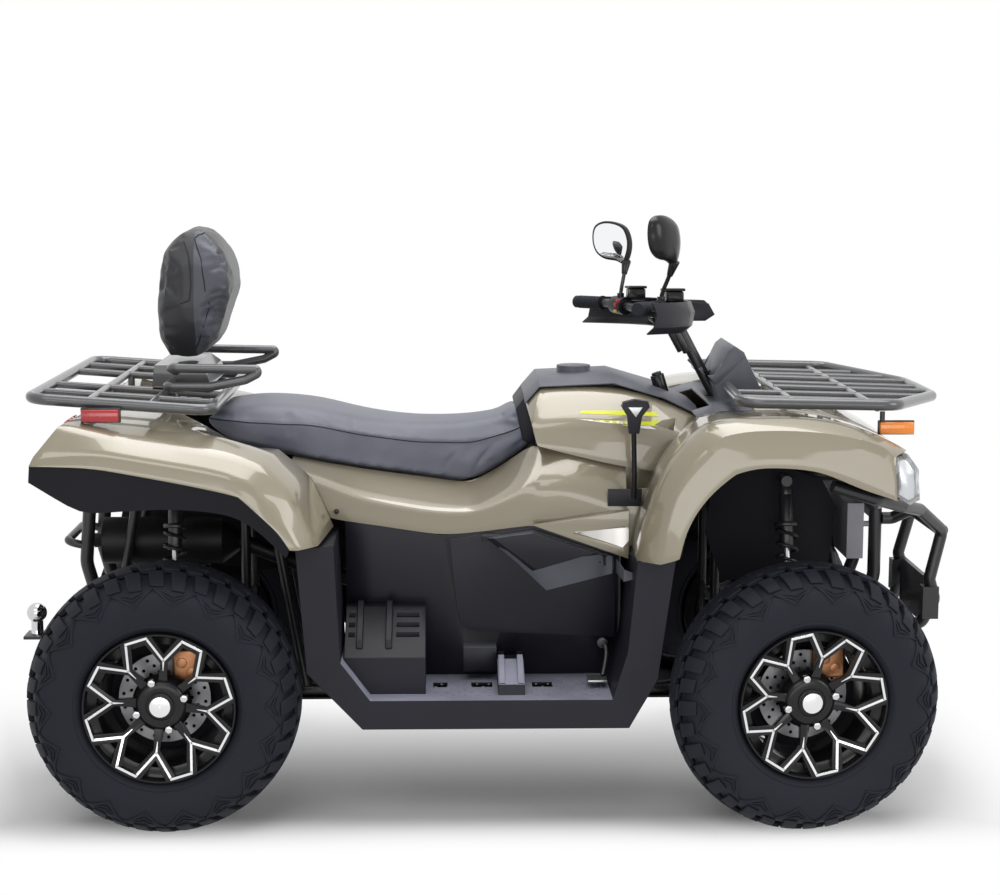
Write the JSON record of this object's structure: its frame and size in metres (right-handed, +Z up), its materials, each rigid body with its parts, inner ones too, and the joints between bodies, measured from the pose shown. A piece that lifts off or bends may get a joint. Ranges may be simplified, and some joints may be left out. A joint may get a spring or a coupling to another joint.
{
  "type": "quad bike",
  "caption": "Two-seat utility quad bike with steered front wheels, racks, footwells, backrest, grab handles, bumper and towing ball.",
  "frame": {"origin": "on the ground, on the centre plane, half way between the axles", "axes": "+X forward, +Y to the rider's left, +Z up"},
  "size_m": [2.294, 1.2204, 1.4154],
  "materials": {
    "paint": "gloss",
    "plastic": "textured",
    "liner": "matte",
    "seat_cover": "satin vinyl",
    "frame_paint": "satin black",
    "rack_paint": "satin black",
    "alloy": "cast",
    "engine_metal": "cast",
    "rim": "gloss black with machined edges",
    "tyre": "matte",
    "steel": "satin",
    "chrome": "polished",
    "rubber": "matte",
    "lens_clear": "clear",
    "lens_red": "gloss",
    "lens_orange": "gloss",
    "mirror_case": "matte",
    "radiator_grey": "satin"
  },
  "bodies": {
    "chassis": {"frame": "frame_paint", "engine_block": "engine_metal", "drive_cases": "alloy", "drive_shafts": "steel", "skid_plate": "plastic", "suspension_arms": "frame_paint", "shock_absorbers": "frame_paint", "knuckles_rear": "alloy", "front_body": "paint", "rear_body": "paint", "seat": "seat_cover", "tank_shell": "paint", "tank_top_cover": "plastic", "side_panels": "paint", "footwell_left": "plastic", "footwell_right": "plastic", "side_covers": "plastic", "arch_liners": "liner", "tail_panel": "liner", "tail_lamps": "lens_red", "front_grille": "plastic", "headlamps": "lens_clear", "radiator": "radiator_grey", "bumper": "frame_paint", "front_rack": "rack_paint", "rear_rack": "rack_paint", "side_reflectors": "lens_orange", "rear_reflectors": "lens_red", "backrest_mount": "rack_paint", "infill_panels": "paint", "backrest_pad": "seat_cover", "hitch": "chrome", "exhaust": "steel", "gear_lever": "plastic", "dash_pod": "plastic"},
    "steering": {"steering_stem": "frame_paint", "handlebar": "frame_paint", "grips": "rubber", "hand_controls": "plastic", "bar_pod": "plastic", "mirrors": "mirror_case", "hand_guards": "plastic"},
    "knuckle_left": {"knuckle_front_left": "alloy"},
    "knuckle_right": {"knuckle_front_right": "alloy"},
    "tie_rod_left": {"tie_rod_left": "steel"},
    "tie_rod_right": {"tie_rod_right": "steel"},
    "road_wheel_front_right": {"tyre_front_right": "tyre", "wheel_front_right": "rim", "brake_disc_front_right": "steel"},
    "road_wheel_front_left": {"tyre_front_left": "tyre", "wheel_front_left": "rim", "brake_disc_front_left": "steel"},
    "road_wheel_rear_right": {"tyre_rear_right": "tyre", "wheel_rear_right": "rim", "brake_disc_rear_right": "steel"},
    "road_wheel_rear_left": {"tyre_rear_left": "tyre", "wheel_rear_left": "rim", "brake_disc_rear_left": "steel"}
  },
  "joints": [
    {"name": "handlebar_steer", "type": "hinge", "parent": "chassis", "child": "steering", "pos_m": [0.53, 0, 1.062], "axis": [-0.4695, 0, 0.8829], "range_deg": [-40, 28]},
    {"name": "kingpin_left", "type": "hinge", "parent": "chassis", "child": "knuckle_left", "pos_m": [0.7335, 0.43, 0.315], "axis": [0, 0, 1], "range_deg": [-40, 28]},
    {"name": "tie_rod_pin_left", "type": "hinge", "parent": "steering", "child": "tie_rod_left", "pos_m": [0.76082, -0.00941, 0.43723], "axis": [-0.4695, 0, 0.8829], "range_deg": [-28, 40]},
    {"name": "wheel_spin_front_left", "type": "hinge", "parent": "knuckle_left", "child": "road_wheel_front_left", "pos_m": [0.7335, 0.43, 0.315], "axis": [-0.1045, 0.9945, 0], "continuous": true},
    {"name": "wheel_spin_rear_left", "type": "hinge", "parent": "chassis", "child": "road_wheel_rear_left", "pos_m": [-0.7335, 0.43, 0.315], "axis": [0, 1, 0], "continuous": true},
    {"name": "kingpin_right", "type": "hinge", "parent": "chassis", "child": "knuckle_right", "pos_m": [0.7335, -0.43, 0.315], "axis": [0, 0, 1], "range_deg": [-40, 28]},
    {"name": "tie_rod_pin_right", "type": "hinge", "parent": "steering", "child": "tie_rod_right", "pos_m": [0.76082, -0.00941, 0.43723], "axis": [-0.4695, 0, 0.8829], "range_deg": [-28, 40]},
    {"name": "wheel_spin_front_right", "type": "hinge", "parent": "knuckle_right", "child": "road_wheel_front_right", "pos_m": [0.7335, -0.43, 0.315], "axis": [-0.1045, 0.9945, 0], "continuous": true},
    {"name": "wheel_spin_rear_right", "type": "hinge", "parent": "chassis", "child": "road_wheel_rear_right", "pos_m": [-0.7335, -0.43, 0.315], "axis": [0, 1, 0], "continuous": true}
  ],
  "couplings": [
    {"joint": "kingpin_left", "follows": "handlebar_steer", "ratio": 1},
    {"joint": "tie_rod_pin_left", "follows": "handlebar_steer", "ratio": -1},
    {"joint": "kingpin_right", "follows": "handlebar_steer", "ratio": 1},
    {"joint": "tie_rod_pin_right", "follows": "handlebar_steer", "ratio": -1}
  ]
}
